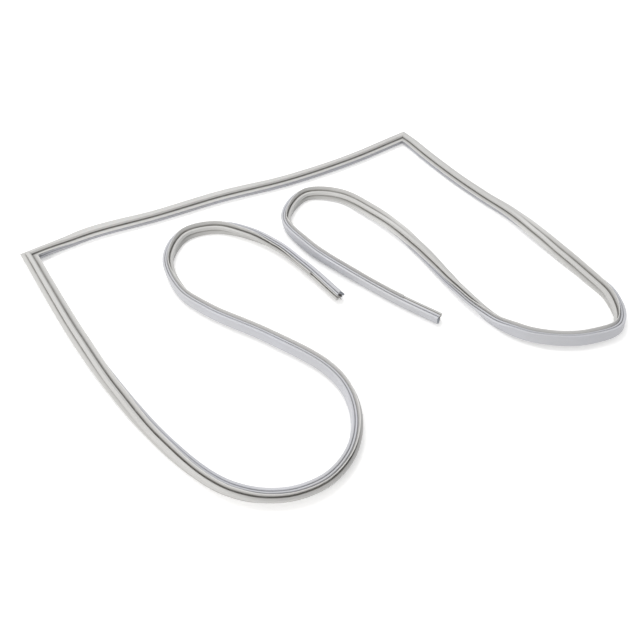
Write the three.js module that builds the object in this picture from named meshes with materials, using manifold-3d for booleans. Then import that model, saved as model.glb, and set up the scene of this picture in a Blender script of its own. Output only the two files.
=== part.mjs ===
// Magnetic door gasket, three-sided: a top run, two long side runs, two welded corners.
// It lies slack on a floor the way it was set down, with both side runs curled back.
// Millimetres, +Z up, X to the right and Y away from the viewer.
import * as THREE from 'three';
import { mergeVertices } from 'three/addons/utils/BufferGeometryUtils.js';
import Module from 'manifold-3d';

const wasm = await Module();
wasm.setup();

// Door the gasket is cut for: height of a side run over the welded corner.
const DOOR_HEIGHT = 1981;

// Extruded section, measured over the width (U) and up from the magnet face (V).
// U runs from the inner edge of the frame to its outer edge.
const SECTION_HEIGHT = 18.7;
const WING_REACH = 14.5;
const FACE_HALF = 9.5;
const FACE_ROUND = 0.5;
const BULB_HEIGHT = 4.2;
const PLEAT_REACH = 9.8;
const PLEAT_LOW = 6.3;
const PLEAT_HIGH = 8.5;
const NECK_HALF = 5.3;
const NECK_LOW = 5.3;
const WEB_LOW = 9.6;
const WEB_HIGH = 11.6;
const WING_TIP_LOW = 12.3;
const WING_TIP_HIGH = 13.4;
const STEM_HALF = 2;
const BARB_LOW = 13.7;
const BARB_HIGH = 14.7;
const BARB_HALF = 4.4;
const CROWN_HALF = 2.7;
const WALL = 1.0;

// Magnet strip and the pocket it slides into.
const MAGNET_WIDTH = 15;
const MAGNET_THICK = 2.2;
const POCKET_PLAY = 0.3;
const POCKET_WIDTH = MAGNET_WIDTH + 2 * POCKET_PLAY;
const POCKET_FLOOR = 0.8;
const POCKET_HIGH = POCKET_FLOOR + MAGNET_THICK + 2 * POCKET_PLAY;
const MAGNET_SHOWS = 2;
const MAGNET_CORNER_GAP = 10;

// The two side runs were cut by hand, one a little short and one a little long.
const LEFT_SPARE = -9;
const RIGHT_SPARE = 16;

// Relief cut at each free end: the inner wing is trimmed off.
const RELIEF_LENGTH = 76;
const RELIEF_ROOT = 6;

// Axis of the section that rides on the lie line.
const AXIS_V = SECTION_HEIGHT / 2;

// Straight stretch beside each weld, and how far apart the cross cuts may be.
const WELD_STRAIGHT = 30;
const FIRST_CUT = 22;
const LONGEST_STEP = 84;
const TURN_PER_STEP = 0.205;
const ROLL_PER_STEP = 0.145;
const FINE_STEPS = 4000;

// Moves the lie so that the middle of its outline is the origin.
const CENTRE_SHIFT = [1.17, -5.65];

// Lie of the strip on the floor: x, y in millimetres, roll in degrees.
// Roll 0 has the magnet face down, minus stands the inner edge up, plus the outer edge.
const LEFT_CORNER = [-554, 45];
const RIGHT_CORNER = [220, 467];
const CORNER_HEADING = 35.5;
const LEFT_LIE = [
  [-498, -35, -10],
  [-403, -167, -16],
  [-312, -280, -40],
  [-227, -371, -60],
  [-145, -438, -74],
  [-101, -459, -82],
  [-54, -467, -90],
  [-9, -461, -93],
  [35, -438, -95],
  [67, -395, -95],
  [78, -338, -95],
  [65, -279, -96],
  [30, -232, -97],
  [-70, -165, -98],
  [-182, -103, -95],
  [-240, -54, -90],
  [-277, 31, -80],
  [-258, 107, -66],
  [-199, 131, -68],
  [-131, 111, -90],
  [-67, 70, -112],
  [-13, 17, -126],
  [56, -69, -128],
  [97, -120, -128],
];
const TOP_LIE = [
  [-447, 116, 8],
  [-325, 171, 2],
  [-196, 236, 5],
  [-56, 294, 0],
  [87, 373, -3],
];
const RIGHT_LIE = [
  [276, 378, 0],
  [326, 302, 0],
  [374, 237, 2],
  [423, 176, 10],
  [462, 113, 30],
  [499, 50, 50],
  [533, -8, 63],
  [560, -67, 76],
  [551, -139, 100],
  [489, -168, 112],
  [430, -171, 112],
  [376, -156, 98],
  [331, -121, 68],
  [294, -69, 38],
  [259, -8, 20],
  [223, 59, 5],
  [178, 126, -15],
  [126, 184, -36],
  [62, 236, -56],
  [-13, 240, -68],
  [-51, 154, -80],
  [-3, 71, -92],
  [51, 20, -82],
  [155, -66, -78],
  [230, -118, -78],
  [272, -147, -78],
];

const RAD = Math.PI / 180;
const UP = new THREE.Vector3(0, 0, 1);

function mirrored(half) {
  const left = half.map(([u, v]) => [-u, v]);
  return half.concat(left.reverse());
}

// Outer outline: magnet bulb, bellows pleat, wing, web, and the barbed mounting rib.
function outerOutline() {
  return mirrored([
    [FACE_HALF - FACE_ROUND, 0],
    [FACE_HALF, FACE_ROUND],
    [FACE_HALF, BULB_HEIGHT],
    [NECK_HALF, NECK_LOW],
    [PLEAT_REACH, PLEAT_LOW],
    [PLEAT_REACH, PLEAT_HIGH],
    [NECK_HALF, WEB_LOW],
    [WING_REACH - WALL / 2, WING_TIP_LOW],
    [WING_REACH, (WING_TIP_LOW + WING_TIP_HIGH) / 2],
    [WING_REACH - WALL / 2, WING_TIP_HIGH],
    [STEM_HALF, WEB_HIGH],
    [STEM_HALF, BARB_LOW],
    [BARB_HALF, BARB_LOW],
    [BARB_HALF, BARB_HIGH],
    [CROWN_HALF, SECTION_HEIGHT],
  ]);
}

function pocketOutline() {
  return mirrored([
    [POCKET_WIDTH / 2, POCKET_FLOOR],
    [POCKET_WIDTH / 2, POCKET_HIGH],
  ]);
}

// Air chamber of the bellows, one wall inside the outline.
function chamberOutline() {
  return mirrored([
    [NECK_HALF - WALL, POCKET_HIGH + WALL],
    [NECK_HALF - WALL, NECK_LOW + WALL / 2],
    [PLEAT_REACH - 1.5 * WALL, (PLEAT_LOW + PLEAT_HIGH) / 2],
    [NECK_HALF - WALL, WEB_LOW - WALL],
  ]);
}

function magnetOutline() {
  const low = POCKET_FLOOR + POCKET_PLAY;
  return mirrored([
    [MAGNET_WIDTH / 2, low],
    [MAGNET_WIDTH / 2, low + MAGNET_THICK],
  ]);
}

// Block that takes the inner wing away and leaves the rest.
function reliefOutline() {
  const outside = WING_REACH + 2;
  const over = WING_TIP_HIGH + 1.5;
  return [
    [-RELIEF_ROOT, WEB_LOW + 0.05],
    [-RELIEF_ROOT, over],
    [-outside, over],
    [-outside, WEB_LOW + 0.8],
  ];
}

function asShape(points) {
  return new THREE.Shape(points.map(([u, v]) => new THREE.Vector2(u, v)));
}

// One run of the lie: straight beside a weld, then a curve through the lie points.
function runCurve(points) {
  const vectors = points.map(([x, y]) => new THREE.Vector3(x, y, 0));
  return new THREE.CatmullRomCurve3(vectors, false, 'centripetal');
}

function besideWeld([x, y], headingDeg, roll) {
  const angle = headingDeg * RAD;
  return [x + WELD_STRAIGHT * Math.cos(angle), y + WELD_STRAIGHT * Math.sin(angle), roll];
}

function rollAt(points, t) {
  const place = t * (points.length - 1);
  const k = Math.min(Math.floor(place), points.length - 2);
  const f = place - k;
  const ease = f * f * (3 - 2 * f);
  return (points[k][2] + (points[k + 1][2] - points[k][2]) * ease) * RAD;
}

// Fine walk along a run, each place with its distance, heading and roll.
function walk(points) {
  const curve = runCurve(points);
  const places = [];
  let distance = 0;
  let last = null;
  for (let i = 0; i <= FINE_STEPS; i += 1) {
    const t = i / FINE_STEPS;
    const pos = curve.getPoint(t);
    const tangent = curve.getTangent(t);
    if (last) {
      distance += pos.distanceTo(last);
    }
    places.push({ pos, heading: Math.atan2(tangent.y, tangent.x), roll: rollAt(points, t), distance });
    last = pos;
  }
  return places;
}

function angleBetween(a, b) {
  return Math.abs(Math.atan2(Math.sin(a - b), Math.cos(a - b)));
}

// Cross cuts closer together where the strip turns or rolls, wider where it runs straight.
function pickCuts(places, endDistance) {
  const cuts = [places[0]];
  let turned = 0;
  let rolled = 0;
  for (let i = 1; i < places.length; i += 1) {
    const here = places[i];
    const before = places[i - 1];
    if (here.distance > endDistance) {
      break;
    }
    turned += angleBetween(here.heading, before.heading);
    rolled += Math.abs(here.roll - before.roll);
    const step = here.distance - cuts[cuts.length - 1].distance;
    if (turned > TURN_PER_STEP || rolled > ROLL_PER_STEP || step > LONGEST_STEP) {
      cuts.push(here);
      turned = 0;
      rolled = 0;
    }
  }
  return cuts;
}

function placeAt(places, distance) {
  return places.find((place) => place.distance >= distance);
}

// Puts exact cross cuts where a piece has to start or stop.
function withExactCut(cuts, places, distance) {
  const exact = placeAt(places, distance);
  const near = 6;
  const kept = cuts.filter((cut) => Math.abs(cut.distance - distance) > near);
  kept.push(exact);
  return kept.sort((a, b) => a.distance - b.distance);
}

// A frame of the strip at one cross cut; spread is 1 except on a mitre plane.
function frameOf(pos, side, roll, spread) {
  return { pos, side, roll, spread };
}

function placeFrame(place, backwards) {
  const heading = backwards ? place.heading + Math.PI : place.heading;
  const side = new THREE.Vector3(-Math.sin(heading), Math.cos(heading), 0);
  return frameOf(place.pos, side, place.roll, 1);
}

function mitreFrame([x, y], headingIn, headingOut, roll) {
  const middle = (headingIn + headingOut) / 2;
  const half = (headingOut - headingIn) / 2;
  const side = new THREE.Vector3(-Math.sin(middle), Math.cos(middle), 0);
  return frameOf(new THREE.Vector3(x, y, 0), side, roll, 1 / Math.cos(half));
}

const OUTLINE = outerOutline();

// Height of the section axis that lets the lowest corner of the outline touch the floor.
function restingHeight(roll) {
  const lows = OUTLINE.map(([u, v]) => u * Math.sin(roll) + (v - AXIS_V) * Math.cos(roll));
  return -Math.min(...lows);
}

function pointOn(frame, u, v) {
  const w = v - AXIS_V;
  const across = u * Math.cos(frame.roll) - w * Math.sin(frame.roll);
  const rise = u * Math.sin(frame.roll) + w * Math.cos(frame.roll);
  const out = frame.pos.clone().addScaledVector(frame.side, across * frame.spread);
  return out.addScaledVector(UP, rise + restingHeight(frame.roll));
}

// Straight extrusion with one cross cut per frame, then each cut is laid on its frame.
function sweep(outline, frames) {
  const shape = asShape(outline);
  const steps = frames.length - 1;
  const settings = { depth: steps, steps, bevelEnabled: false };
  const geometry = new THREE.ExtrudeGeometry(shape, settings);
  const position = geometry.getAttribute('position');
  for (let i = 0; i < position.count; i += 1) {
    const cut = Math.round(position.getZ(i));
    const laid = pointOn(frames[cut], position.getX(i), position.getY(i));
    position.setXYZ(i, laid.x, laid.y, laid.z);
  }
  return geometry;
}

function toSolid(geometry) {
  const bare = geometry.clone();
  bare.deleteAttribute('normal');
  bare.deleteAttribute('uv');
  const merged = mergeVertices(bare, 1e-4);
  const mesh = new wasm.Mesh({
    numProp: 3,
    vertProperties: new Float32Array(merged.getAttribute('position').array),
    triVerts: new Uint32Array(merged.getIndex().array),
  });
  return new wasm.Manifold(mesh);
}

function toGeometry(solid) {
  const mesh = solid.getMesh();
  const geometry = new THREE.BufferGeometry();
  geometry.setAttribute('position', new THREE.BufferAttribute(mesh.vertProperties, 3));
  geometry.setIndex(new THREE.BufferAttribute(mesh.triVerts, 1));
  geometry.computeVertexNormals();
  return geometry;
}

// The three runs. Side runs are walked from their corner to their free end.
const downHeading = CORNER_HEADING - 90;
const SIDE_LENGTH = DOOR_HEIGHT - WING_REACH;
const leftRoll = LEFT_LIE[0][2];
const rightRoll = RIGHT_LIE[0][2];
const leftPlaces = walk([besideWeld(LEFT_CORNER, downHeading, leftRoll), ...LEFT_LIE]);
const rightPlaces = walk([besideWeld(RIGHT_CORNER, downHeading, rightRoll), ...RIGHT_LIE]);
const topPlaces = walk([
  besideWeld(LEFT_CORNER, CORNER_HEADING, leftRoll),
  ...TOP_LIE,
  besideWeld(RIGHT_CORNER, CORNER_HEADING + 180, rightRoll),
]);
const sideEnd = SIDE_LENGTH - WELD_STRAIGHT;

function sideFrames(places, spare, backwards) {
  const end = sideEnd + spare;
  const picked = pickCuts(places, end - 12);
  const cuts = withExactCut(picked, places, end);
  return cuts.map((cut) => placeFrame(cut, backwards));
}

function cutBeside([x, y], headingDeg, roll, distance, backwards) {
  const angle = headingDeg * RAD;
  const pos = new THREE.Vector3(x + distance * Math.cos(angle), y + distance * Math.sin(angle), 0);
  return placeFrame({ pos, heading: angle, roll: roll * RAD }, backwards);
}

const leftSide = sideFrames(leftPlaces, LEFT_SPARE, true).reverse();
const rightSide = sideFrames(rightPlaces, RIGHT_SPARE, false);
const topRun = pickCuts(topPlaces, topPlaces[topPlaces.length - 1].distance - 12)
  .concat([topPlaces[topPlaces.length - 1]])
  .map((cut) => placeFrame(cut, false));

const leftMitre = mitreFrame(LEFT_CORNER, (CORNER_HEADING + 90) * RAD, CORNER_HEADING * RAD, leftRoll * RAD);
const rightMitre = mitreFrame(RIGHT_CORNER, CORNER_HEADING * RAD, downHeading * RAD, rightRoll * RAD);

function weldCuts(distance) {
  return {
    leftDown: cutBeside(LEFT_CORNER, downHeading, leftRoll, distance, true),
    leftAcross: cutBeside(LEFT_CORNER, CORNER_HEADING, leftRoll, distance, false),
    rightAcross: cutBeside(RIGHT_CORNER, CORNER_HEADING + 180, rightRoll, distance, true),
    rightDown: cutBeside(RIGHT_CORNER, downHeading, rightRoll, distance, false),
  };
}

const near = weldCuts(FIRST_CUT);
const wholeFrames = [
  ...leftSide, near.leftDown, leftMitre, near.leftAcross,
  ...topRun, near.rightAcross, rightMitre, near.rightDown, ...rightSide,
];

// Frames of the last stretch before a free end, carried a little past the cut face.
function endStretch(frames, length) {
  const kept = [frames[0]];
  let run = 0;
  for (let i = 1; i < frames.length && run < length; i += 1) {
    const step = frames[i].pos.distanceTo(frames[i - 1].pos);
    const share = Math.min(1, (length - run) / step);
    const pos = frames[i - 1].pos.clone().lerp(frames[i].pos, share);
    const side = frames[i - 1].side.clone().lerp(frames[i].side, share).normalize();
    const roll = frames[i - 1].roll + (frames[i].roll - frames[i - 1].roll) * share;
    kept.push(frameOf(pos, side, roll, 1));
    run += step * share;
  }
  return kept;
}

function carriedPast(frames, distance) {
  const first = frames[0];
  const back = first.pos.clone().sub(frames[1].pos).normalize();
  const pos = first.pos.clone().addScaledVector(back, distance);
  return [frameOf(pos, first.side, first.roll, 1), ...frames];
}

function reliefBlock(endFrames, flipped) {
  const stretch = carriedPast(endStretch(endFrames, RELIEF_LENGTH), 5);
  const ordered = flipped ? stretch.reverse() : stretch;
  return toSolid(sweep(reliefOutline(), ordered));
}

// Both hollows run the whole length and are open at the two free ends.
function profileGeometry() {
  const strip = toSolid(sweep(OUTLINE, wholeFrames));
  const longFrames = carriedPast(carriedPast(wholeFrames, 5).reverse(), 5).reverse();
  const pocket = toSolid(sweep(pocketOutline(), longFrames));
  const chamber = toSolid(sweep(chamberOutline(), longFrames));
  const leftCut = reliefBlock(leftSide, false);
  const rightCut = reliefBlock([...rightSide].reverse(), true);
  return toGeometry(strip.subtract(pocket).subtract(chamber).subtract(leftCut).subtract(rightCut));
}

function magnetGeometry(frames) {
  return toGeometry(toSolid(sweep(magnetOutline(), frames)));
}

const magnetEnds = weldCuts(MAGNET_CORNER_GAP);

function leftMagnetFrames() {
  return [...carriedPast(leftSide, MAGNET_SHOWS), near.leftDown, magnetEnds.leftDown];
}

function topMagnetFrames() {
  return [magnetEnds.leftAcross, near.leftAcross, ...topRun, near.rightAcross, magnetEnds.rightAcross];
}

function rightMagnetFrames() {
  const fromEnd = carriedPast([...rightSide].reverse(), MAGNET_SHOWS).reverse();
  return [magnetEnds.rightDown, near.rightDown, ...fromEnd];
}

function vinyl() {
  return new THREE.MeshStandardMaterial({ color: 0xb9b8b5, roughness: 0.42, metalness: 0 });
}

function magnetRubber() {
  return new THREE.MeshStandardMaterial({ color: 0x565a62, roughness: 0.7, metalness: 0 });
}

function named(name, geometry, material) {
  const mesh = new THREE.Mesh(geometry, material);
  mesh.name = name;
  return mesh;
}

const gasket = new THREE.Group();
gasket.name = 'door_gasket';
gasket.position.set(CENTRE_SHIFT[0], CENTRE_SHIFT[1], 0);
gasket.add(named('gasket_profile', profileGeometry(), vinyl()));
gasket.add(named('magnet_strip_left', magnetGeometry(leftMagnetFrames()), magnetRubber()));
gasket.add(named('magnet_strip_top', magnetGeometry(topMagnetFrames()), magnetRubber()));
gasket.add(named('magnet_strip_right', magnetGeometry(rightMagnetFrames()), magnetRubber()));

export default gasket;
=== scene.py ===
import math
import bpy
import numpy as np
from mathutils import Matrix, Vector


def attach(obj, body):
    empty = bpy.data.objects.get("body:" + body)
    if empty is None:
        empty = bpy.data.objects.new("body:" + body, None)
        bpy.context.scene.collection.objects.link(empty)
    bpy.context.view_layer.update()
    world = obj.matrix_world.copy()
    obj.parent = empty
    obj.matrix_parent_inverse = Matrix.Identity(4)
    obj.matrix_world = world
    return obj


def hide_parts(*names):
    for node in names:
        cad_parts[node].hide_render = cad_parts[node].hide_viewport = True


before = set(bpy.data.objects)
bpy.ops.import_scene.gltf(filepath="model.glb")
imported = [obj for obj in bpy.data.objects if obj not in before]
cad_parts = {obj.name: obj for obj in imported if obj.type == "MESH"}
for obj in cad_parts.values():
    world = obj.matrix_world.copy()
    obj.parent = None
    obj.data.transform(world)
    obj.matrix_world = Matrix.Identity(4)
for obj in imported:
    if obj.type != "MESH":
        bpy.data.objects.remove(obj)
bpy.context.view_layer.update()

# Camera: a still camera just under a metre off the floor, looking down at the gasket.
# The height, the tilt and the lens are those at which the two welded corners and both
# curls fall where the picture has them.
cam_data = bpy.data.cameras.new("camera")
camera = bpy.data.objects.new("camera", cam_data)
bpy.context.scene.collection.objects.link(camera)
bpy.context.scene.camera = camera
camera.location = (0.02077, -0.88765, 0.867)
camera.rotation_euler = (math.radians(41.5), 0.0, 0.0)
cam_data.sensor_width = 36.0
cam_data.lens = 35.72
cam_data.clip_start = 0.01
cam_data.clip_end = 60.0


# Gasket profile: three lengths of one soft grey PVC extrusion, mitred at two corners and
# hot welded there. It has a magnet pocket, a bellows, two lips and a barbed rib that is
# pushed into the door. It lies slack, with both long sides curled back.
MM = 0.001
DOOR_HEIGHT = 1981.0
SECTION_HEIGHT = 18.7
AXIS_V = SECTION_HEIGHT / 2
FACE_HALF = 9.5
BULB_HEIGHT = 4.2
NECK_HALF = 5.3
NECK_LOW = 5.3
PLEAT_REACH = 9.8
PLEAT_LOW = 6.3
PLEAT_HIGH = 8.5
WEB_LOW = 9.6
WEB_HIGH = 11.6
WING_REACH = 14.5
WING_TIP_LOW = 12.3
WING_TIP_HIGH = 13.4
STEM_HALF = 2.0
BARB_HALF = 4.4
BARB_LOW = 13.7
BARB_HIGH = 14.7

# Where the runs end, past (+) or short (-) of the height of the door, and the lip that stops sooner.
LEFT_SPARE = -9.0
RIGHT_SPARE = 16.0
RELIEF_LENGTH = 76.0
RELIEF_ROOT = 6.0
TOUCH = 0.02

# How finely the strip is divided, along its length and round its section.
WELD_STRAIGHT = 30.0
WELD_CUTS = (26.0, 22.0)
CUT_SPACING = 11.0
LAST_GAP = 0.4 * CUT_SPACING
LEAST_GAP = 1.5
TURN_PER_CUT = 0.10
FINE_STEPS = 4000
ARC_STEP = 0.55
FLAT_STEP = 2.2

# Where the corners lie, and the bead that the welding plate leaves on them.
CENTRE_SHIFT = (1.17, -5.65)
LEFT_CORNER = (-554.0, 45.0)
RIGHT_CORNER = (220.0, 467.0)
CORNER_HEADING = 35.5
BEAD_HALF = 0.7
BEAD_HEIGHT = 0.22

# The lips wave a little along their length, as thin soft edges do once they are unrolled.
LIP_RIPPLE = 1.1
RIPPLE_LENGTH = 55.0
RIPPLE_SEED = 3.7
RIPPLE_CURVE = 1.5
OTHER_LIP = 7.0
SHARP_DEGREES = 38
MERGE_WITHIN = 0.004

# The lie of each run on the floor: x, y in millimetres and roll in degrees.
LEFT_LIE = [
    (-498, -35, -10), (-403, -167, -16), (-312, -280, -40), (-227, -371, -60),
    (-145, -438, -74), (-101, -459, -82), (-54, -467, -90), (-9, -461, -93),
    (35, -438, -95), (67, -395, -95), (78, -338, -95), (65, -279, -96),
    (30, -232, -97), (-70, -165, -98), (-182, -103, -95), (-240, -54, -90),
    (-277, 31, -80), (-258, 107, -66), (-199, 131, -68), (-131, 111, -90),
    (-67, 70, -112), (-13, 17, -126), (56, -69, -128), (97, -120, -128),
]
TOP_LIE = [(-447, 116, 8), (-325, 171, 2), (-196, 236, 5), (-56, 294, 0), (87, 373, -3)]
RIGHT_LIE = [
    (276, 378, 0), (326, 302, 0), (374, 237, 2), (423, 176, 10), (462, 113, 30),
    (499, 50, 50), (533, -8, 63), (560, -67, 76), (551, -139, 100), (489, -168, 112),
    (430, -171, 112), (376, -156, 98), (331, -121, 68), (294, -69, 38), (259, -8, 20),
    (223, 59, 5), (178, 126, -15), (126, 184, -36), (62, 236, -56), (-13, 240, -68),
    (-51, 154, -80), (-3, 71, -92), (51, 20, -82), (155, -66, -78), (230, -118, -78),
    (272, -147, -78),
]

# Half of the outer outline, each corner with the radius that the die gives it.
HALF_OUTLINE = [
    (FACE_HALF, 0.0, 0.8), (FACE_HALF, BULB_HEIGHT, 0.9), (NECK_HALF, NECK_LOW, 0.4),
    (PLEAT_REACH, PLEAT_LOW, 0.5), (PLEAT_REACH, PLEAT_HIGH, 0.6), (NECK_HALF, WEB_LOW, 0.5),
    (9.6, 10.9, 6.0), (WING_REACH - 0.05, WING_TIP_LOW, 0.4),
    (WING_REACH - 0.3, WING_TIP_HIGH, 0.45), (8.0, 12.4, 8.0), (STEM_HALF, WEB_HIGH, 0.5),
    (STEM_HALF, BARB_LOW, 0.35), (BARB_HALF, BARB_LOW, 0.3), (BARB_HALF, BARB_HIGH, 0.5),
    (3.0, SECTION_HEIGHT, 1.1),
]
POCKET_HALF = [(7.8, 0.8, 0.3), (7.8, 3.6, 0.3)]
CHAMBER_HALF = [(4.3, 4.6, 0.3), (4.3, 5.8, 0.3), (8.3, 7.4, 0.3), (4.3, 8.6, 0.3)]


def mirrored(half):
    """The whole closed outline, counter-clockwise from the right half."""
    return half + [(-u, v, r) for u, v, r in reversed(half)]


def rounded(corners):
    """Closed outline with an arc at each corner and a few points along each long flat."""
    points = []
    count = len(corners)
    for i, (u, v, radius) in enumerate(corners):
        here = Vector((u, v))
        back = Vector(corners[i - 1][:2]) - here
        ahead = Vector(corners[(i + 1) % count][:2]) - here
        turn = math.pi - back.angle(ahead)
        reach = min(radius * math.tan(turn / 2), 0.45 * back.length, 0.45 * ahead.length)
        radius = reach / math.tan(turn / 2)
        start = here + back.normalized() * reach
        end = here + ahead.normalized() * reach
        steps = max(2, int(math.ceil(turn / ARC_STEP)))
        inward = (back.normalized() + ahead.normalized()).normalized()
        middle = here + inward * (radius / math.cos(turn / 2))
        first = start - middle
        last = end - middle
        for k in range(steps + 1):
            share = k / steps
            swung = (first * math.sin((1 - share) * turn) + last * math.sin(share * turn))
            points.append(middle + swung / math.sin(turn))
    filled = []
    for a, b in zip(points, points[1:] + points[:1]):
        parts = max(1, int((b - a).length / FLAT_STEP))
        filled += [a.lerp(b, k / parts) for k in range(parts)]
    return [tuple(p) for p in filled]


def trimmed(outline):
    """The same points where the inner lip is cut off: its own points fall on the cut."""
    cut = [i for i, (u, v) in enumerate(outline) if u < -RELIEF_ROOT and v > WEB_LOW + TOUCH]
    low, high = min(cut), max(cut)
    before = outline[low - 1]
    after = outline[(high + 1) % len(outline)]
    result = list(outline)
    for i in cut:
        share = (i - low + 1) / (high - low + 2)
        rise = before[1] + (after[1] - before[1]) * share
        result[i] = (-RELIEF_ROOT - TOUCH, rise)
    return result


def outward_of(outline):
    """Outward direction at each point of a counter-clockwise outline."""
    result = []
    for i in range(len(outline)):
        a = Vector(outline[i - 1])
        b = Vector(outline[(i + 1) % len(outline)])
        along = (b - a).normalized()
        result.append((along.y, -along.x))
    return result


def on_curve(points, place):
    """Centripetal Catmull-Rom curve through the lie points, position and direction."""
    last = len(points) - 1
    k = min(int(place), last - 1)
    f = place - k
    p1, p2 = points[k], points[k + 1]
    p0 = points[k - 1] if k > 0 else 2 * points[0] - points[1]
    p3 = points[k + 2] if k + 2 <= last else 2 * points[last] - points[last - 1]
    d0, d1, d2 = (np.linalg.norm(b - a) ** 0.5 for a, b in ((p0, p1), (p1, p2), (p2, p3)))
    m1 = ((p1 - p0) / d0 - (p2 - p0) / (d0 + d1) + (p2 - p1) / d1) * d1
    m2 = ((p2 - p1) / d1 - (p3 - p1) / (d1 + d2) + (p3 - p2) / d2) * d1
    c2 = -3 * p1 + 3 * p2 - 2 * m1 - m2
    c3 = 2 * p1 - 2 * p2 + m1 + m2
    return p1 + m1 * f + c2 * f * f + c3 * f ** 3, m1 + 2 * c2 * f + 3 * c3 * f * f


def roll_on(rolls, place):
    """The roll between two lie points, easing in and out."""
    k = min(int(place), len(rolls) - 2)
    f = place - k
    return math.radians(rolls[k] + (rolls[k + 1] - rolls[k]) * f * f * (3 - 2 * f))


def beside_weld(corner, heading, roll):
    """The lie point at which a run leaves the straight stretch beside its weld."""
    a = math.radians(heading)
    return (corner[0] + WELD_STRAIGHT * math.cos(a), corner[1] + WELD_STRAIGHT * math.sin(a), roll)


def walk(lie):
    """Fine walk along one run: distance, position, heading and roll at each place."""
    points = [np.array(p[:2], float) for p in lie]
    rolls = [p[2] for p in lie]
    places = []
    distance = 0.0
    for i in range(FINE_STEPS + 1):
        place = i / FINE_STEPS * (len(points) - 1)
        pos, way = on_curve(points, place)
        if places:
            distance += float(np.linalg.norm(pos - places[-1][1]))
        places.append((distance, pos, math.atan2(way[1], way[0]), roll_on(rolls, place)))
    return places


def place_at(places, distance):
    """The place at an exact distance, between two places of the fine walk."""
    for a, b in zip(places, places[1:]):
        if b[0] >= distance:
            share = (distance - a[0]) / (b[0] - a[0])
            turn = math.atan2(math.sin(b[2] - a[2]), math.cos(b[2] - a[2]))
            pos = a[1] + (b[1] - a[1]) * share
            return (distance, pos, a[2] + turn * share, a[3] + (b[3] - a[3]) * share)
    return places[-1]


def cuts_along(places, end, exact=()):
    """Cross cuts, closer together where the strip turns or rolls."""
    cuts = [places[0]]
    turned = 0.0
    for before, here in zip(places, places[1:]):
        if here[0] > end - LAST_GAP:
            break
        swing = math.atan2(math.sin(here[2] - before[2]), math.cos(here[2] - before[2]))
        turned += abs(swing) + abs(here[3] - before[3])
        if turned > TURN_PER_CUT or here[0] - cuts[-1][0] > CUT_SPACING:
            cuts.append(here)
            turned = 0.0
    cuts = [c for c in cuts if all(abs(c[0] - e) > LEAST_GAP for e in exact)]
    cuts += [place_at(places, e) for e in exact] + [place_at(places, end)]
    return sorted(cuts, key=lambda cut: cut[0])


def station(pos, heading, roll, along, spread=1.0, swell=0.0, cut=0.0):
    """One cross cut: where it stands, how it is turned, and what is done to it there."""
    side = (-math.sin(heading), math.cos(heading), 0.0)
    return dict(foot=(pos[0], pos[1], 0.0), side=side, roll=roll, spread=spread,
                along=along, swell=swell, cut=cut)


def straight(corner, heading, distance, roll, travel, along):
    """A station beside a weld, squared to its own run."""
    a = math.radians(heading)
    pos = (corner[0] + distance * math.cos(a), corner[1] + distance * math.sin(a))
    return station(pos, math.radians(travel), math.radians(roll), along)


def bead(corner, heading_in, heading_out, roll, along):
    """Three stations on the mitre plane, the middle one swollen by the weld bead."""
    middle = math.radians((heading_in + heading_out) / 2)
    half = math.radians((heading_out - heading_in) / 2)
    made = []
    for offset, swell in ((-BEAD_HALF, 0.0), (0.0, BEAD_HEIGHT), (BEAD_HALF, 0.0)):
        a = math.radians(heading_in if offset < 0 else heading_out)
        pos = (corner[0] + offset * math.cos(a), corner[1] + offset * math.sin(a))
        made.append(station(pos, middle, math.radians(roll), along + offset,
                            spread=1 / math.cos(half), swell=swell))
    return made


down = CORNER_HEADING - 90
side_length = DOOR_HEIGHT - WING_REACH
side_end = side_length - WELD_STRAIGHT
left_roll, right_roll = LEFT_LIE[0][2], RIGHT_LIE[0][2]
left_places = walk([beside_weld(LEFT_CORNER, down, left_roll)] + LEFT_LIE)
right_places = walk([beside_weld(RIGHT_CORNER, down, right_roll)] + RIGHT_LIE)
top_places = walk([beside_weld(LEFT_CORNER, CORNER_HEADING, left_roll)] + TOP_LIE
                  + [beside_weld(RIGHT_CORNER, CORNER_HEADING + 180, right_roll)])
top_length = top_places[-1][0]
weld_left = side_length
weld_right = side_length + top_length + 2 * WELD_STRAIGHT


def side_run(places, spare, travel_sign):
    """A long side from its weld to its free end, the inner lip cut off near the end."""
    end = side_end + spare
    relief = end - RELIEF_LENGTH
    run = []
    for distance, pos, heading, roll in cuts_along(places, end, (relief,)):
        heading = heading if travel_sign > 0 else heading + math.pi
        if travel_sign > 0:
            along = weld_right + WELD_STRAIGHT + distance
        else:
            along = weld_left - WELD_STRAIGHT - distance
        gone = 1.0 if distance > relief + 1e-6 else 0.0
        run.append(station(pos, heading, roll, along, cut=gone))
        if abs(distance - relief) < 1e-6:
            run.append(station(pos, heading, roll, along, cut=1.0))
    return run


left_run = side_run(left_places, LEFT_SPARE, -1)[::-1]
right_run = side_run(right_places, RIGHT_SPARE, 1)
top_run = [station(pos, heading, roll, weld_left + WELD_STRAIGHT + distance)
           for distance, pos, heading, roll in cuts_along(top_places, top_length)]


def beside(corner, heading, roll, travel, weld, sign, distances):
    """The cross cuts of the straight stretch beside one weld."""
    return [straight(corner, heading, d, roll, travel, weld + sign * d) for d in distances]


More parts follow.
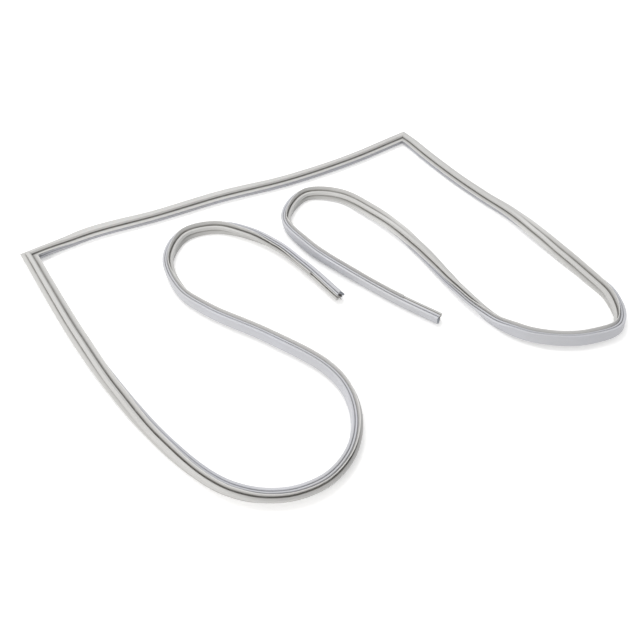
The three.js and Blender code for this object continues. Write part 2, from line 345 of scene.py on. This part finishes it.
left_in = beside(LEFT_CORNER, down, left_roll, CORNER_HEADING + 90, weld_left, -1, WELD_CUTS)
left_out = beside(LEFT_CORNER, CORNER_HEADING, left_roll, CORNER_HEADING, weld_left, 1,
                  WELD_CUTS[::-1])
right_in = beside(RIGHT_CORNER, CORNER_HEADING + 180, right_roll, CORNER_HEADING,
                  weld_right, -1, WELD_CUTS)
right_out = beside(RIGHT_CORNER, down, right_roll, down, weld_right, 1, WELD_CUTS[::-1])
left_bead = bead(LEFT_CORNER, CORNER_HEADING + 90, CORNER_HEADING, left_roll, weld_left)
right_bead = bead(RIGHT_CORNER, CORNER_HEADING, down, right_roll, weld_right)
whole_run = (left_run + left_in + left_bead + left_out + top_run
             + right_in + right_bead + right_out + right_run)

OUTLINE = rounded(mirrored(HALF_OUTLINE))


def resting_height(roll):
    """How high the section's axis lies when its lowest point touches the floor."""
    low = min(u * math.sin(roll) + (v - AXIS_V) * math.cos(roll) for u, v in OUTLINE)
    return -low


def line_mesh(name, points, closed_counts=None):
    """A mesh of vertices and edges: one open line, or closed loops of the given counts."""
    mesh = bpy.data.meshes.new(name)
    edges = []
    if closed_counts is None:
        edges = [(i, i + 1) for i in range(len(points) - 1)]
    else:
        start = 0
        for count in closed_counts:
            edges += [(start + i, start + (i + 1) % count) for i in range(count)]
            start += count
    mesh.from_pydata(points, edges, [])
    return mesh


def store(mesh, name, kind, values):
    """Keeps one value for each vertex under a name that the nodes read."""
    layer = mesh.attributes.new(name, kind, "POINT")
    field = "vector" if kind == "FLOAT_VECTOR" else "value"
    layer.data.foreach_set(field, np.array(values, dtype=np.float32).ravel())


def new_object(name, mesh):
    made = bpy.data.objects.new(name, mesh)
    bpy.context.scene.collection.objects.link(made)
    return made


def lie_object(name, stations):
    """The strip's line on the floor, each vertex with how the section stands there."""
    shift = Vector((CENTRE_SHIFT[0], CENTRE_SHIFT[1], 0.0))
    feet = [tuple((Vector(s["foot"]) + shift) * MM) for s in stations]
    mesh = line_mesh(name, feet)
    store(mesh, "foot", "FLOAT_VECTOR", feet)
    store(mesh, "side", "FLOAT_VECTOR", [s["side"] for s in stations])
    store(mesh, "roll", "FLOAT", [s["roll"] for s in stations])
    store(mesh, "spread", "FLOAT", [s["spread"] for s in stations])
    store(mesh, "rest", "FLOAT", [resting_height(s["roll"]) * MM for s in stations])
    store(mesh, "along", "FLOAT", [s["along"] * MM for s in stations])
    store(mesh, "swell", "FLOAT", [s["swell"] * MM for s in stations])
    store(mesh, "cut", "FLOAT", [s["cut"] for s in stations])
    return new_object(name, mesh)


def section_object(name, solid, hollows=()):
    """The die's outline: one loop round the solid, and one for each hollow, reversed."""
    loops = [(solid, outward_of(solid), trimmed(solid) if hollows else solid)]
    for hollow in hollows:
        turned = hollow[::-1]
        still = [(0.0, 0.0)] * len(turned)
        loops.append((turned, still, turned))
    points, outward, cut, girth = [], [], [], []
    for outline, away, without in loops:
        length = 0.0
        for i, p in enumerate(outline):
            length += (Vector(p) - Vector(outline[i - 1])).length if i else 0.0
            girth.append(length * MM)
        points += [(u * MM, v * MM, 0.0) for u, v in outline]
        outward += [(u, v, 0.0) for u, v in away]
        cut += [(u * MM, v * MM, 0.0) for u, v in without]
    mesh = line_mesh(name, points, [len(loop[0]) for loop in loops])
    store(mesh, "section", "FLOAT_VECTOR", points)
    store(mesh, "section_cut", "FLOAT_VECTOR", cut)
    store(mesh, "outward", "FLOAT_VECTOR", outward)
    store(mesh, "girth", "FLOAT", girth)
    return new_object(name, mesh)


class Wiring:
    """Short words for adding nodes to one tree and joining them up."""

    def __init__(self, tree):
        self.tree = tree

    def node(self, kind, **settings):
        made = self.tree.nodes.new(kind)
        for key, value in settings.items():
            setattr(made, key, value)
        return made

    def join(self, source, target):
        self.tree.links.new(source, target)

    def feed(self, socket, value):
        if isinstance(value, bpy.types.NodeSocket):
            self.join(value, socket)
        else:
            socket.default_value = value

    def math(self, operation, *values):
        made = self.node("ShaderNodeMath", operation=operation)
        for socket, value in zip(made.inputs, values):
            self.feed(socket, value)
        return made.outputs[0]

    def vector(self, operation, *values):
        made = self.node("ShaderNodeVectorMath", operation=operation)
        for socket, value in zip(made.inputs, values):
            self.feed(socket, value)
        return made.outputs["Value"] if operation in ("DOT_PRODUCT", "LENGTH") else made.outputs[0]

    def scaled(self, vector, factor):
        made = self.node("ShaderNodeVectorMath", operation="SCALE")
        self.feed(made.inputs[0], vector)
        self.feed(made.inputs["Scale"], factor)
        return made.outputs[0]

    def named(self, name, kind="FLOAT"):
        made = self.node("GeometryNodeInputNamedAttribute", data_type=kind)
        made.inputs["Name"].default_value = name
        return made.outputs["Attribute"]


def strip_tree():
    """Carries a section along the lie, caps both ends, and lays it on the floor."""
    tree = bpy.data.node_groups.new("strip_on_its_lie", "GeometryNodeTree")
    sockets = [("Lie", "NodeSocketGeometry"), ("Section", "NodeSocketObject"),
               ("Axis Height", "NodeSocketFloat"), ("Lip Root", "NodeSocketFloat"),
               ("Lip Reach", "NodeSocketFloat"), ("Lip Ripple", "NodeSocketFloat"),
               ("Ripple Length", "NodeSocketFloat"), ("Ripple Seed", "NodeSocketFloat"),
               ("Sharp Angle", "NodeSocketFloat"), ("Material", "NodeSocketMaterial")]
    for label, kind in sockets:
        tree.interface.new_socket(label, in_out="INPUT", socket_type=kind)
    tree.interface.new_socket("Strip", in_out="OUTPUT", socket_type="NodeSocketGeometry")
    w = Wiring(tree)
    given = w.node("NodeGroupInput").outputs
    result = w.node("NodeGroupOutput").inputs

    # The tube: the section's loops carried from station to station.
    info = w.node("GeometryNodeObjectInfo", transform_space="ORIGINAL")
    w.join(given["Section"], info.inputs["Object"])
    rail = w.node("GeometryNodeMeshToCurve")
    w.join(given["Lie"], rail.inputs["Mesh"])
    loop = w.node("GeometryNodeMeshToCurve")
    w.join(info.outputs["Geometry"], loop.inputs["Mesh"])
    tube = w.node("GeometryNodeCurveToMesh")
    w.join(rail.outputs[0], tube.inputs["Curve"])
    w.join(loop.outputs[0], tube.inputs["Profile Curve"])

    # The end faces: the trimmed section filled in, its hollows left open.
    flat = w.node("GeometryNodeSetPosition")
    w.join(info.outputs["Geometry"], flat.inputs["Geometry"])
    w.join(w.named("section_cut", "FLOAT_VECTOR"), flat.inputs["Position"])
    flat_loop = w.node("GeometryNodeMeshToCurve")
    w.join(flat.outputs[0], flat_loop.inputs["Mesh"])
    fill = w.node("GeometryNodeFillCurve")
    w.join(flat_loop.outputs[0], fill.inputs["Curve"])
    kept = fill.outputs[0]
    for name in ("section", "section_cut"):
        keep = w.node("GeometryNodeStoreNamedAttribute", data_type="FLOAT_VECTOR", domain="POINT")
        keep.inputs["Name"].default_value = name
        w.join(kept, keep.inputs["Geometry"])
        w.join(w.node("GeometryNodeInputPosition").outputs[0], keep.inputs["Value"])
        kept = keep.outputs[0]
    size = w.node("GeometryNodeAttributeDomainSize", component="MESH")
    w.join(given["Lie"], size.inputs[0])
    last = w.math("SUBTRACT", size.outputs["Point Count"], 1.0)
    index = w.node("GeometryNodeInputIndex").outputs[0]
    ends = []
    for wanted, flip in ((0.0, True), (last, False)):
        face = kept
        if flip:
            turn = w.node("GeometryNodeFlipFaces")
            w.join(kept, turn.inputs[0])
            face = turn.outputs[0]
        at = w.node("FunctionNodeCompare", data_type="FLOAT", operation="EQUAL")
        w.join(index, at.inputs["A"])
        w.feed(at.inputs["B"], wanted)
        put = w.node("GeometryNodeInstanceOnPoints")
        w.join(given["Lie"], put.inputs["Points"])
        w.join(at.outputs[0], put.inputs["Selection"])
        w.join(face, put.inputs["Instance"])
        ends.append(put.outputs[0])
    whole = w.node("GeometryNodeJoinGeometry")
    w.join(tube.outputs[0], whole.inputs[0])
    for end in ends:
        w.join(end, whole.inputs[0])
    real = w.node("GeometryNodeRealizeInstances")
    w.join(whole.outputs[0], real.inputs[0])

    # Where each point of the section comes to lie.
    mix = w.node("ShaderNodeMix", data_type="VECTOR")
    w.join(w.named("cut"), mix.inputs["Factor"])
    vectors = [s for s in mix.inputs if s.type == "VECTOR"]
    w.join(w.named("section", "FLOAT_VECTOR"), vectors[-2])
    w.join(w.named("section_cut", "FLOAT_VECTOR"), vectors[-1])
    mixed = [s for s in mix.outputs if s.type == "VECTOR"][0]
    swollen = w.vector("ADD", mixed, w.scaled(w.named("outward", "FLOAT_VECTOR"), w.named("swell")))
    parts = w.node("ShaderNodeSeparateXYZ")
    w.join(swollen, parts.inputs[0])
    u, v = parts.outputs["X"], parts.outputs["Y"]
    past_root = w.math("SUBTRACT", w.math("ABSOLUTE", u), given["Lip Root"])
    share = w.math("MAXIMUM", w.math("DIVIDE", past_root, given["Lip Reach"]), 0.0)
    on_lip = w.math("MULTIPLY", w.math("POWER", share, RIPPLE_CURVE),
                    w.math("GREATER_THAN", v, given["Axis Height"]))
    spot = w.node("ShaderNodeCombineXYZ")
    w.join(w.math("DIVIDE", w.named("along"), given["Ripple Length"]), spot.inputs["X"])
    w.join(w.math("MULTIPLY", w.math("SIGN", u), OTHER_LIP), spot.inputs["Y"])
    w.join(given["Ripple Seed"], spot.inputs["Z"])
    noise = w.node("ShaderNodeTexNoise", noise_dimensions="3D")
    noise.inputs["Scale"].default_value = 1.0
    noise.inputs["Detail"].default_value = 1.0
    w.join(spot.outputs[0], noise.inputs["Vector"])
    wave = w.math("MULTIPLY", w.math("SUBTRACT", noise.outputs[0], 0.5), given["Lip Ripple"])
    v = w.math("ADD", v, w.math("MULTIPLY", on_lip, wave))
    rise_v = w.math("SUBTRACT", v, given["Axis Height"])
    roll = w.named("roll")
    cos, sin = w.math("COSINE", roll), w.math("SINE", roll)
    across = w.math("SUBTRACT", w.math("MULTIPLY", u, cos), w.math("MULTIPLY", rise_v, sin))
    rise = w.math("ADD", w.math("MULTIPLY", u, sin), w.math("MULTIPLY", rise_v, cos))
    height = w.math("MAXIMUM", w.math("ADD", rise, w.named("rest")), 0.0)
    upright = w.node("ShaderNodeCombineXYZ")
    w.join(height, upright.inputs["Z"])
    sideways = w.scaled(w.named("side", "FLOAT_VECTOR"), w.math("MULTIPLY", across, w.named("spread")))
    placed = w.vector("ADD", w.vector("ADD", w.named("foot", "FLOAT_VECTOR"), sideways), upright.outputs[0])
    lay = w.node("GeometryNodeSetPosition")
    w.join(real.outputs[0], lay.inputs["Geometry"])
    w.join(placed, lay.inputs["Position"])

    # Closed up, smooth round the die's radii and sharp along the cuts.
    merge = w.node("GeometryNodeMergeByDistance")
    merge.inputs["Distance"].default_value = MERGE_WITHIN * MM
    w.join(lay.outputs[0], merge.inputs["Geometry"])
    smooth = w.node("GeometryNodeSetShadeSmooth", domain="FACE")
    w.join(merge.outputs[0], smooth.inputs["Geometry"])
    angle = w.node("GeometryNodeInputMeshEdgeAngle")
    flat_enough = w.node("FunctionNodeCompare", data_type="FLOAT", operation="LESS_THAN")
    w.join(angle.outputs["Unsigned Angle"], flat_enough.inputs["A"])
    w.join(given["Sharp Angle"], flat_enough.inputs["B"])
    edges = w.node("GeometryNodeSetShadeSmooth", domain="EDGE")
    w.join(smooth.outputs[0], edges.inputs["Geometry"])
    w.join(flat_enough.outputs[0], edges.inputs["Shade Smooth"])
    last_real = w.node("GeometryNodeRealizeInstances")
    w.join(edges.outputs[0], last_real.inputs[0])
    paint = w.node("GeometryNodeSetMaterial")
    w.join(last_real.outputs[0], paint.inputs["Geometry"])
    w.join(given["Material"], paint.inputs["Material"])
    w.join(paint.outputs[0], result[0])
    return tree


STRIP_TREE = strip_tree()
SOCKET_OF = {item.name: item.identifier for item in STRIP_TREE.interface.items_tree
             if item.in_out == "INPUT"}


def laid_strip(name, stations, section, material, ripple=0.0):
    """Runs the tree on one line of stations and keeps the plain mesh that it makes."""
    strip = lie_object(name, stations)
    sweep = strip.modifiers.new("sweep", "NODES")
    sweep.node_group = STRIP_TREE
    settings = {"Section": section, "Axis Height": AXIS_V * MM, "Lip Root": NECK_HALF * MM,
                "Lip Reach": (WING_REACH - NECK_HALF) * MM, "Lip Ripple": ripple * MM,
                "Ripple Length": RIPPLE_LENGTH * MM, "Ripple Seed": RIPPLE_SEED,
                "Sharp Angle": math.radians(SHARP_DEGREES), "Material": material}
    for label, value in settings.items():
        sweep[SOCKET_OF[label]] = value
    graph = bpy.context.evaluated_depsgraph_get()
    mesh = bpy.data.meshes.new_from_object(strip.evaluated_get(graph))
    strip.modifiers.remove(sweep)
    mesh.name = name
    strip.data = mesh
    for spare in ("foot", "side", "roll", "spread", "rest", "swell", "cut", "outward", "section_cut"):
        if spare in mesh.attributes:
            mesh.attributes.remove(mesh.attributes[spare])
    return strip


def principled(name, colour, roughness):
    """A new material with its shader, for the pieces' own nodes to feed."""
    material = bpy.data.materials.new(name)
    material.use_nodes = True
    w = Wiring(material.node_tree)
    shader = material.node_tree.nodes["Principled BSDF"]
    shader.inputs["Base Color"].default_value = (*colour, 1.0)
    shader.inputs["Roughness"].default_value = roughness
    return material, w, shader


VINYL_TOP = (0.57, 0.568, 0.56, 1.0)
# Painted shade: the next colour is a cooler, bluish copy of the vinyl, laid below the web.
VINYL_SHADED_FACE = (0.56, 0.57, 0.615, 1.0)
CLOUD = (0.52, 0.517, 0.508, 1.0)
STREAK = (0.49, 0.49, 0.485, 1.0)
# Painted shade: the next colour is the near-black laid into the grooves.
GROOVE_SHADE = (0.22, 0.21, 0.195, 1.0)
# Painted highlight: the next colour is the pale tone laid on the lips' rims.
RIM_HIGHLIGHT = (0.76, 0.755, 0.74, 1.0)
WELD_MARK = (0.42, 0.415, 0.40, 1.0)


def vinyl_material():
    """Pale grey plasticised PVC: satin, faint die lines, painted shade below the web and in its grooves,
    painted highlights on its rims.
    """
    material, w, shader = principled("grey_vinyl", (0.62, 0.62, 0.61), 0.42)
    where = w.node("ShaderNodeTexCoord").outputs["Object"]
    section = w.node("ShaderNodeAttribute", attribute_name="section").outputs["Vector"]
    along = w.node("ShaderNodeAttribute", attribute_name="along").outputs["Fac"]
    girth = w.node("ShaderNodeAttribute", attribute_name="girth").outputs["Fac"]

    def noise(vector, scale, detail=3.0, rough=0.55):
        made = w.node("ShaderNodeTexNoise")
        w.join(vector, made.inputs["Vector"])
        made.inputs["Scale"].default_value = scale
        made.inputs["Detail"].default_value = detail
        made.inputs["Roughness"].default_value = rough
        return made.outputs[0]

    def ramp(value, low, high, dark=0.0, light=1.0):
        made = w.node("ShaderNodeMapRange", clamp=True)
        w.join(value, made.inputs["Value"])
        made.inputs["From Min"].default_value = low
        made.inputs["From Max"].default_value = high
        made.inputs["To Min"].default_value = dark
        made.inputs["To Max"].default_value = light
        return made.outputs[0]

    def blend(factor, a, b):
        made = w.node("ShaderNodeMix", data_type="RGBA", blend_type="MIX")
        w.feed(made.inputs["Factor"], factor)
        colours = [s for s in made.inputs if s.type == "RGBA"]
        for socket, value in zip(colours, (a, b)):
            w.feed(socket, value)
        return [s for s in made.outputs if s.type == "RGBA"][0]

    parts = w.node("ShaderNodeSeparateXYZ")
    w.join(section, parts.inputs[0])
    u, v = w.math("ABSOLUTE", parts.outputs["X"]), parts.outputs["Y"]
    run = w.node("ShaderNodeCombineXYZ")
    w.join(w.math("MULTIPLY", along, 6.0), run.inputs["X"])
    w.join(w.math("MULTIPLY", girth, 900.0), run.inputs["Y"])
    streaks = noise(run.outputs[0], 1.0, 2.0)
    clouds = noise(where, 9.0, 3.0)
    mottle = noise(where, 42.0, 4.0, 0.65)
    specks = noise(where, 900.0, 2.0, 0.6)

    # Painted shade below the web as a cooler bluish grey, then handling marks, painted shade laid dark in
    # the grooves and painted highlights on the rims.
    colour = blend(ramp(v, 0.0102, 0.0090), VINYL_TOP, VINYL_SHADED_FACE)
    colour = blend(ramp(clouds, 0.35, 0.7, 0.0, 0.35), colour, CLOUD)
    colour = blend(ramp(streaks, 0.45, 0.75, 0.0, 0.22), colour, STREAK)
    # Painted shade: the grooves between the lips, the rib and the bellows are laid dark, mottled by noise.
    sheltered = w.math("MULTIPLY", ramp(v, 0.0150, 0.0137), ramp(v, 0.0030, 0.0043))
    in_groove = w.math("MULTIPLY", ramp(u, 0.0084, 0.0056), sheltered)
    groove_shade_share = w.math("MULTIPLY", in_groove, ramp(mottle, 0.35, 0.7, 0.62, 0.95))
    colour = blend(groove_shade_share, colour, GROOVE_SHADE)
    # Painted highlight: the lips' outer rims are laid paler, mottled by noise.
    rim_highlight_share = w.math("MULTIPLY", ramp(u, 0.0128, 0.0144), ramp(mottle, 0.35, 0.65, 0.2, 0.75))
    colour = blend(rim_highlight_share, colour, RIM_HIGHLIGHT)
    for weld in (weld_left, weld_right):
        off = w.math("ABSOLUTE", w.math("SUBTRACT", along, weld * MM))
        colour = blend(ramp(off, 0.0011, 0.0004, 0.0, 0.45), colour, WELD_MARK)
    w.join(colour, shader.inputs["Base Color"])
    rough = w.math("ADD", ramp(mottle, 0.3, 0.7, 0.34, 0.50), ramp(streaks, 0.4, 0.7, 0.0, 0.07))
    w.join(rough, shader.inputs["Roughness"])
    bump = w.node("ShaderNodeBump")
    bump.inputs["Strength"].default_value = 0.35
    bump.inputs["Distance"].default_value = 0.0002
    uneven = w.math("ADD", w.math("MULTIPLY", streaks, 0.6), w.math("MULTIPLY", specks, 0.25))
    w.join(w.math("ADD", uneven, w.math("MULTIPLY", mottle, 0.7)), bump.inputs["Height"])
    w.join(bump.outputs[0], shader.inputs["Normal"])
    return material


profile_section = section_object("profile_section", OUTLINE,
                                 [rounded(mirrored(POCKET_HALF)), rounded(mirrored(CHAMBER_HALF))])
profile = laid_strip("profile", whole_run, profile_section, vinyl_material(), ripple=LIP_RIPPLE)
bpy.data.objects.remove(profile_section)
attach(profile, "root")
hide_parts("gasket_profile")


# Magnet strips: three flat bars of ferrite-filled rubber, sliced from a coil and slid into
# the pocket from the cut ends. They stop short of the welds and stand a little out of
# each free end, where their dull blue-grey cut shows.
MAGNET_WIDTH = 15.0
MAGNET_LOW = 1.1
MAGNET_THICK = 2.2
MAGNET_SHOWS = 2.0
MAGNET_CORNER_GAP = 10.0
MAGNET_EDGE = 0.25
magnet_outline = rounded(mirrored([
    (MAGNET_WIDTH / 2, MAGNET_LOW, MAGNET_EDGE),
    (MAGNET_WIDTH / 2, MAGNET_LOW + MAGNET_THICK, MAGNET_EDGE)]))


def magnet_material():
    """Ferrite powder in rubber: dull slate grey with a fine grain."""
    material, w, shader = principled("magnet_rubber", (0.12, 0.13, 0.15), 0.68)
    where = w.node("ShaderNodeTexCoord").outputs["Object"]
    grain = w.node("ShaderNodeTexNoise")
    w.join(where, grain.inputs["Vector"])
    grain.inputs["Scale"].default_value = 1400.0
    grain.inputs["Detail"].default_value = 3.0
    ramp = w.node("ShaderNodeValToRGB")
    ramp.color_ramp.elements[0].position = 0.32
    ramp.color_ramp.elements[0].color = (0.16, 0.175, 0.205, 1.0)
    ramp.color_ramp.elements[1].position = 0.70
    ramp.color_ramp.elements[1].color = (0.27, 0.29, 0.33, 1.0)
    w.join(grain.outputs[0], ramp.inputs[0])
    w.join(ramp.outputs[0], shader.inputs["Base Color"])
    w.join(w.math("ADD", w.math("MULTIPLY", grain.outputs[0], 0.2), 0.55), shader.inputs["Roughness"])
    bump = w.node("ShaderNodeBump")
    bump.inputs["Strength"].default_value = 0.4
    bump.inputs["Distance"].default_value = 0.0001
    w.join(grain.outputs[0], bump.inputs["Height"])
    w.join(bump.outputs[0], shader.inputs["Normal"])
    return material


def carried_past(end, inner, distance):
    """A station a little past a free end, along the strip's own line."""
    way = Vector(end["foot"]) - Vector(inner["foot"])
    foot = Vector(end["foot"]) + way.normalized() * distance
    return dict(end, foot=tuple(foot))


def whole_section(stations):
    """The stations without the second one at the cut, which only the lip needs."""
    return [s for i, s in enumerate(stations) if i == 0 or s["foot"] != stations[i - 1]["foot"]]


gap = (MAGNET_CORNER_GAP,)
left_magnet = whole_section(left_run) + left_in + beside(
    LEFT_CORNER, down, left_roll, CORNER_HEADING + 90, weld_left, -1, gap)
left_magnet.insert(0, carried_past(left_magnet[0], left_magnet[1], MAGNET_SHOWS))
top_magnet = beside(LEFT_CORNER, CORNER_HEADING, left_roll, CORNER_HEADING, weld_left, 1, gap)
top_magnet += left_out + top_run + right_in + beside(
    RIGHT_CORNER, CORNER_HEADING + 180, right_roll, CORNER_HEADING, weld_right, -1, gap)
right_magnet = beside(RIGHT_CORNER, down, right_roll, down, weld_right, 1, gap)
right_magnet += right_out + whole_section(right_run)
right_magnet.append(carried_past(right_magnet[-1], right_magnet[-2], MAGNET_SHOWS))

magnet_section = section_object("magnet_section", magnet_outline)
ferrite = magnet_material()
for run_name, stations in (("left", left_magnet), ("top", top_magnet), ("right", right_magnet)):
    magnet = laid_strip("magnet_" + run_name, stations, magnet_section, ferrite)
    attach(magnet, "root")
    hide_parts("magnet_strip_" + run_name)
bpy.data.objects.remove(magnet_section)


# Floor: a plain white studio floor, matt, that runs out past every view. Seen directly it
# is a little lifted, so that it goes to white around a soft shadow.
FLOOR_HALF = 20.0
FLOOR_DROP = 0.0004
FLOOR_LIFT = 0.34


def seen_directly(w):
    """One for rays that the camera sees straight, in a gloss or through a clear piece."""
    path = w.node("ShaderNodeLightPath").outputs
    mirrored_ray = w.math("MAXIMUM", path["Is Glossy Ray"], path["Is Transmission Ray"])
    return w.math("MAXIMUM", path["Is Camera Ray"], mirrored_ray)


floor_mesh = bpy.data.meshes.new("floor")
floor_mesh.from_pydata([(-FLOOR_HALF, -FLOOR_HALF, 0), (FLOOR_HALF, -FLOOR_HALF, 0),
                        (FLOOR_HALF, FLOOR_HALF, 0), (-FLOOR_HALF, FLOOR_HALF, 0)],
                       [], [(0, 1, 2, 3)])
floor = new_object("floor", floor_mesh)
floor.location.z = -FLOOR_DROP
paper, w, shader = principled("white_floor", (0.90, 0.90, 0.90), 0.9)
shader.inputs["Specular IOR Level"].default_value = 0.1
shader.inputs["Emission Color"].default_value = (1.0, 1.0, 1.0, 1.0)
w.join(w.math("MULTIPLY", seen_directly(w), FLOOR_LIFT), shader.inputs["Emission Strength"])
floor_mesh.materials.append(paper)


# Studio light: one wide soft box overhead and a little behind, a weaker one from the front
# left, and an even white surround that fills the shadows.
SURROUND_LIGHT = 0.60
SURROUND_SEEN = 1.00


def soft_box(name, place, target, size, power, colour):
    data = bpy.data.lights.new(name, "AREA")
    data.shape = "RECTANGLE"
    data.size, data.size_y = size
    data.energy = power
    data.color = colour
    lamp = bpy.data.objects.new(name, data)
    bpy.context.scene.collection.objects.link(lamp)
    lamp.location = place
    lamp.rotation_euler = (Vector(target) - Vector(place)).to_track_quat("-Z", "Y").to_euler()


soft_box("overhead_box", (-0.5, 0.9, 2.4), (0.0, 0.0, 0.0), (1.8, 1.2), 32.0, (1.0, 0.995, 0.98))
soft_box("front_box", (-1.6, -2.0, 1.2), (0.0, 0.0, 0.0), (1.4, 1.0), 22.0, (1.0, 0.97, 0.93))

world = bpy.data.worlds.new("surround")
bpy.context.scene.world = world
world.use_nodes = True
w = Wiring(world.node_tree)
background = world.node_tree.nodes["Background"]
background.inputs["Color"].default_value = (1.0, 1.0, 1.0, 1.0)
brighter = w.math("MULTIPLY", seen_directly(w), SURROUND_SEEN - SURROUND_LIGHT)
w.join(w.math("ADD", brighter, SURROUND_LIGHT), background.inputs["Strength"])
bpy.context.scene.view_settings.view_transform = "Standard"
